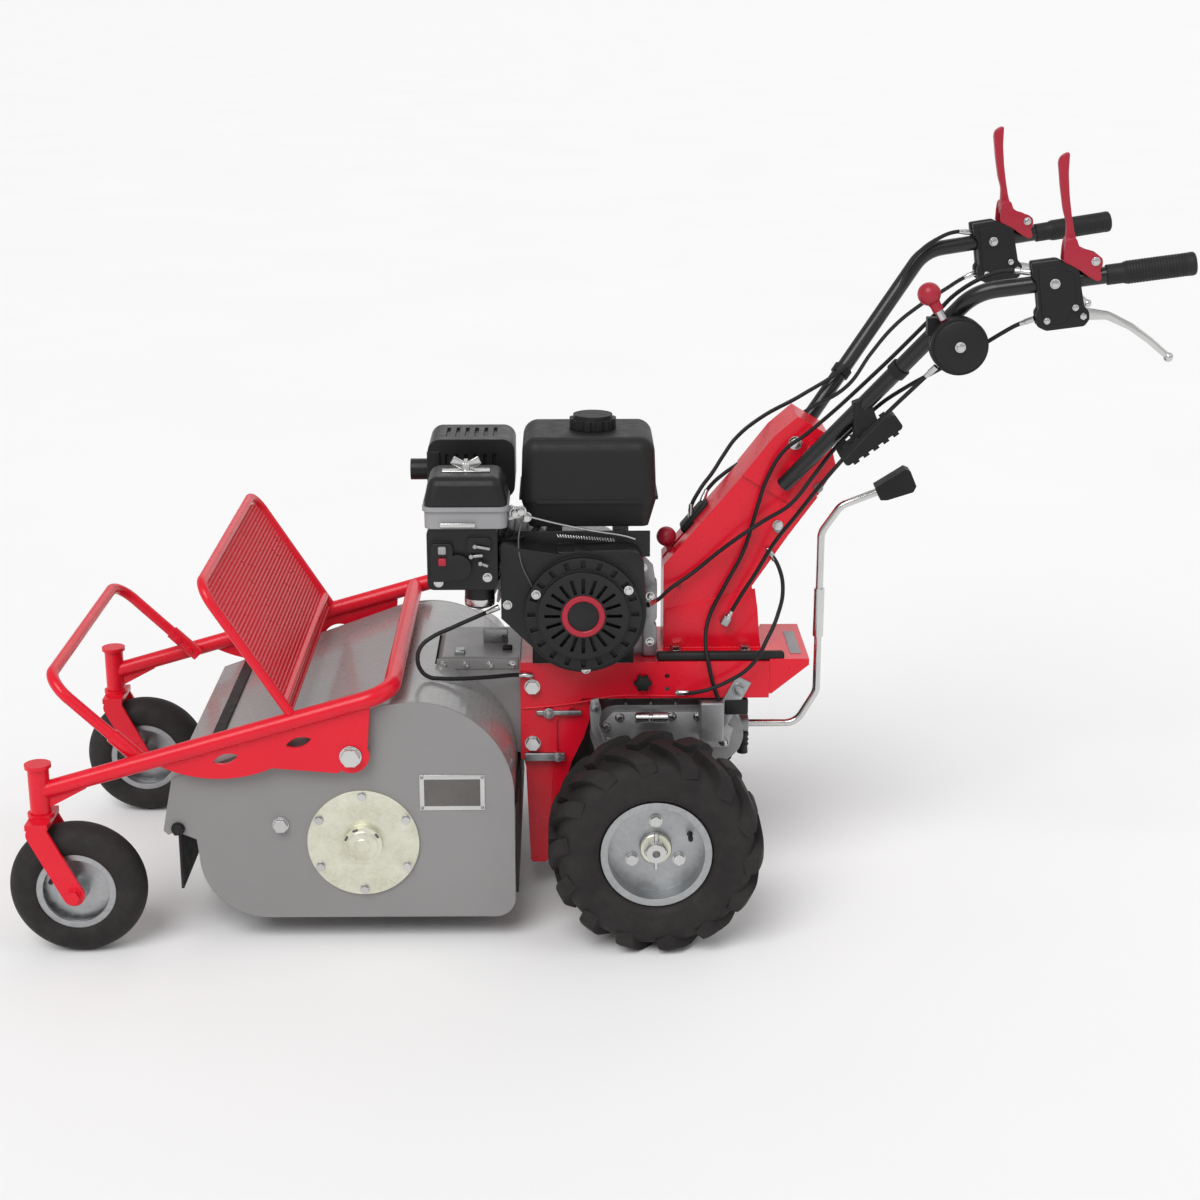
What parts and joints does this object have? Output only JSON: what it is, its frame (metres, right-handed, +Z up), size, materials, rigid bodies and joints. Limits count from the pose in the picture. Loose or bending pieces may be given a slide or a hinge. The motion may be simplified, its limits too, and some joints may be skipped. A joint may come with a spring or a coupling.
{
  "type": "flail mower",
  "caption": "Walk-behind flail mower: flail deck on swivelling castors with a mesh guard, engine and gearbox over two lugged drive wheels, post and splayed handlebars with levers.",
  "frame": {"origin": "on the ground, in the middle of the machine's overall length and width", "axes": "+X from the flail deck at the front back to the hand grips, -Y to the operator's left, +Z up"},
  "size_m": [1.7645, 0.6644, 1.2088],
  "materials": {
    "red_paint": "gloss",
    "lever_red": "gloss",
    "deck_grey": "satin",
    "black_metal": "satin",
    "black_plastic": "matte",
    "grey_plastic": "matte",
    "bright_steel": "bright zinc",
    "zinc": "yellowish zinc",
    "cast_alloy": "cast",
    "tyre_rubber": "matte",
    "rubber": "matte",
    "rotor_steel": "bare"
  },
  "bodies": {
    "machine": {"chassis": "red_paint", "stand_legs": "red_paint", "rear_guard": "red_paint", "gearbox": "cast_alloy", "post": "red_paint", "post_bracket": "red_paint", "handlebar_left": "black_metal", "handlebar_right": "black_metal", "handle_grips": "rubber", "lever_perches": "black_plastic", "throttle_housing": "black_plastic", "cable_clips": "black_plastic", "engine_block": "cast_alloy", "recoil_cover": "black_plastic", "fuel_tank": "black_metal", "air_cleaner_base": "grey_plastic", "air_cleaner_lid": "black_plastic", "muffler": "black_metal", "carburettor": "black_plastic", "side_plate_left": "deck_grey", "side_plate_right": "deck_grey", "hood": "deck_grey", "drive_neck": "deck_grey", "bearing_covers": "zinc", "belt_cover": "deck_grey", "drive_belt": "rubber", "rear_flap": "rubber", "bolts": "bright_steel", "control_cables": "black_plastic"},
    "castor_carrier": {"frame_tube_left": "red_paint", "frame_tube_right": "red_paint", "front_hoop": "red_paint", "guard_frame": "red_paint", "guard_mesh": "red_paint"},
    "swivel_left": {"castor_fork_left": "red_paint"},
    "castor_wheel_left": {"castor_rim_left": "bright_steel", "castor_tyre_left": "tyre_rubber"},
    "drive_wheel_left": {"drive_axle_left": "bright_steel", "drive_rim_left": "bright_steel", "drive_tyre_left": "tyre_rubber"},
    "swivel_right": {"castor_fork_right": "red_paint"},
    "castor_wheel_right": {"castor_rim_right": "bright_steel", "castor_tyre_right": "tyre_rubber"},
    "drive_wheel_right": {"drive_axle_right": "bright_steel", "drive_rim_right": "bright_steel", "drive_tyre_right": "tyre_rubber"},
    "rotor_body": {"rotor": "rotor_steel"},
    "cross_shaft": {"jackshaft": "bright_steel"},
    "flail_row_front": {"flails_front": "rotor_steel"},
    "flail_row_rear": {"flails_rear": "rotor_steel"},
    "deck_flap": {"front_flap": "rubber"},
    "clutch_hand_lever_left": {"clutch_lever_left": "lever_red"},
    "brake_hand_lever_left": {"brake_lever_left": "bright_steel"},
    "clutch_hand_lever_right": {"clutch_lever_right": "lever_red"},
    "brake_hand_lever_right": {"brake_lever_right": "bright_steel"},
    "throttle_hand_lever": {"throttle_lever": "lever_red"},
    "gear_selector": {"gear_rod": "bright_steel", "gear_knob": "black_plastic"},
    "filler_cap": {"fuel_cap": "black_plastic"},
    "ball_knob_lever": {"ball_lever": "lever_red"}
  },
  "joints": [
    {"name": "cutting_height", "type": "hinge", "parent": "machine", "child": "castor_carrier", "pos_m": [-0.3532, 0, 0.316], "axis": [0, -1, 0], "range_deg": [0, 8]},
    {"name": "castor_swivel_left", "type": "hinge", "parent": "castor_carrier", "child": "swivel_left", "pos_m": [-0.8262, -0.282, 0.22], "axis": [0, 0, 1], "continuous": true},
    {"name": "castor_spin_left", "type": "hinge", "parent": "swivel_left", "child": "castor_wheel_left", "pos_m": [-0.7772, -0.282, 0.105], "axis": [0, 1, 0], "continuous": true},
    {"name": "drive_wheel_spin_left", "type": "hinge", "parent": "machine", "child": "drive_wheel_left", "pos_m": [0.1088, -0.264, 0.165], "axis": [0, 1, 0], "continuous": true},
    {"name": "castor_swivel_right", "type": "hinge", "parent": "castor_carrier", "child": "swivel_right", "pos_m": [-0.8262, 0.282, 0.22], "axis": [0, 0, 1], "continuous": true},
    {"name": "castor_spin_right", "type": "hinge", "parent": "swivel_right", "child": "castor_wheel_right", "pos_m": [-0.7772, 0.282, 0.105], "axis": [0, 1, 0], "continuous": true},
    {"name": "drive_wheel_spin_right", "type": "hinge", "parent": "machine", "child": "drive_wheel_right", "pos_m": [0.1088, 0.264, 0.165], "axis": [0, 1, 0], "continuous": true},
    {"name": "rotor_spin", "type": "hinge", "parent": "machine", "child": "rotor_body", "pos_m": [-0.3402, 0, 0.167], "axis": [0, 1, 0], "continuous": true},
    {"name": "cross_shaft_spin", "type": "hinge", "parent": "machine", "child": "cross_shaft", "pos_m": [-0.1912, 0, 0.3], "axis": [0, 1, 0], "continuous": true},
    {"name": "front_flails_swing", "type": "hinge", "parent": "rotor_body", "child": "flail_row_front", "pos_m": [-0.4082, 0, 0.167], "axis": [0, 1, 0], "range_deg": [-30, 200]},
    {"name": "rear_flails_swing", "type": "hinge", "parent": "rotor_body", "child": "flail_row_rear", "pos_m": [-0.2722, 0, 0.167], "axis": [0, -1, 0], "range_deg": [-30, 200]},
    {"name": "front_flap_swing", "type": "hinge", "parent": "machine", "child": "deck_flap", "pos_m": [-0.6232, 0, 0.192], "axis": [0, 1, 0], "range_deg": [-60, 8]},
    {"name": "clutch_lever_press_left", "type": "hinge", "parent": "machine", "child": "clutch_hand_lever_left", "pos_m": [0.73468, -0.23901, 1.05412], "axis": [0.0782, 0.9969, 0], "range_deg": [0, 90], "stiffness_Nm_per_rad": 1.2, "springref_deg": -11.46},
    {"name": "brake_lever_squeeze_left", "type": "hinge", "parent": "machine", "child": "brake_hand_lever_left", "pos_m": [0.72178, -0.238, 0.97548], "axis": [-0.0782, -0.9969, 0], "range_deg": [0, 22], "stiffness_Nm_per_rad": 1, "springref_deg": -11.46},
    {"name": "clutch_lever_press_right", "type": "hinge", "parent": "machine", "child": "clutch_hand_lever_right", "pos_m": [0.73468, 0.23901, 1.05412], "axis": [-0.0782, 0.9969, 0], "range_deg": [0, 90], "stiffness_Nm_per_rad": 1.2, "springref_deg": -11.46},
    {"name": "brake_lever_squeeze_right", "type": "hinge", "parent": "machine", "child": "brake_hand_lever_right", "pos_m": [0.72178, 0.238, 0.97548], "axis": [0.0782, -0.9969, 0], "range_deg": [0, 22], "stiffness_Nm_per_rad": 1, "springref_deg": -11.46},
    {"name": "throttle_turn", "type": "hinge", "parent": "machine", "child": "throttle_hand_lever", "pos_m": [0.5458, -0.236, 0.93], "axis": [0, 1, 0], "range_deg": [-25, 25]},
    {"name": "gear_rod_slide", "type": "slide", "parent": "machine", "child": "gear_selector", "axis": [1, 0, 0], "range_m": [0, 0.045]},
    {"name": "fuel_cap_turn", "type": "hinge", "parent": "machine", "child": "filler_cap", "pos_m": [0.0168, -0.006, 0.77], "axis": [0, 0, 1], "range_deg": [0, 90]},
    {"name": "ball_lever_tilt", "type": "hinge", "parent": "machine", "child": "ball_knob_lever", "pos_m": [0.1528, 0, 0.512], "axis": [0, -1, 0], "range_deg": [0, 20]}
  ],
  "couplings": [
    {"joint": "cross_shaft_spin", "follows": "rotor_spin", "ratio": 1.3478}
  ]
}
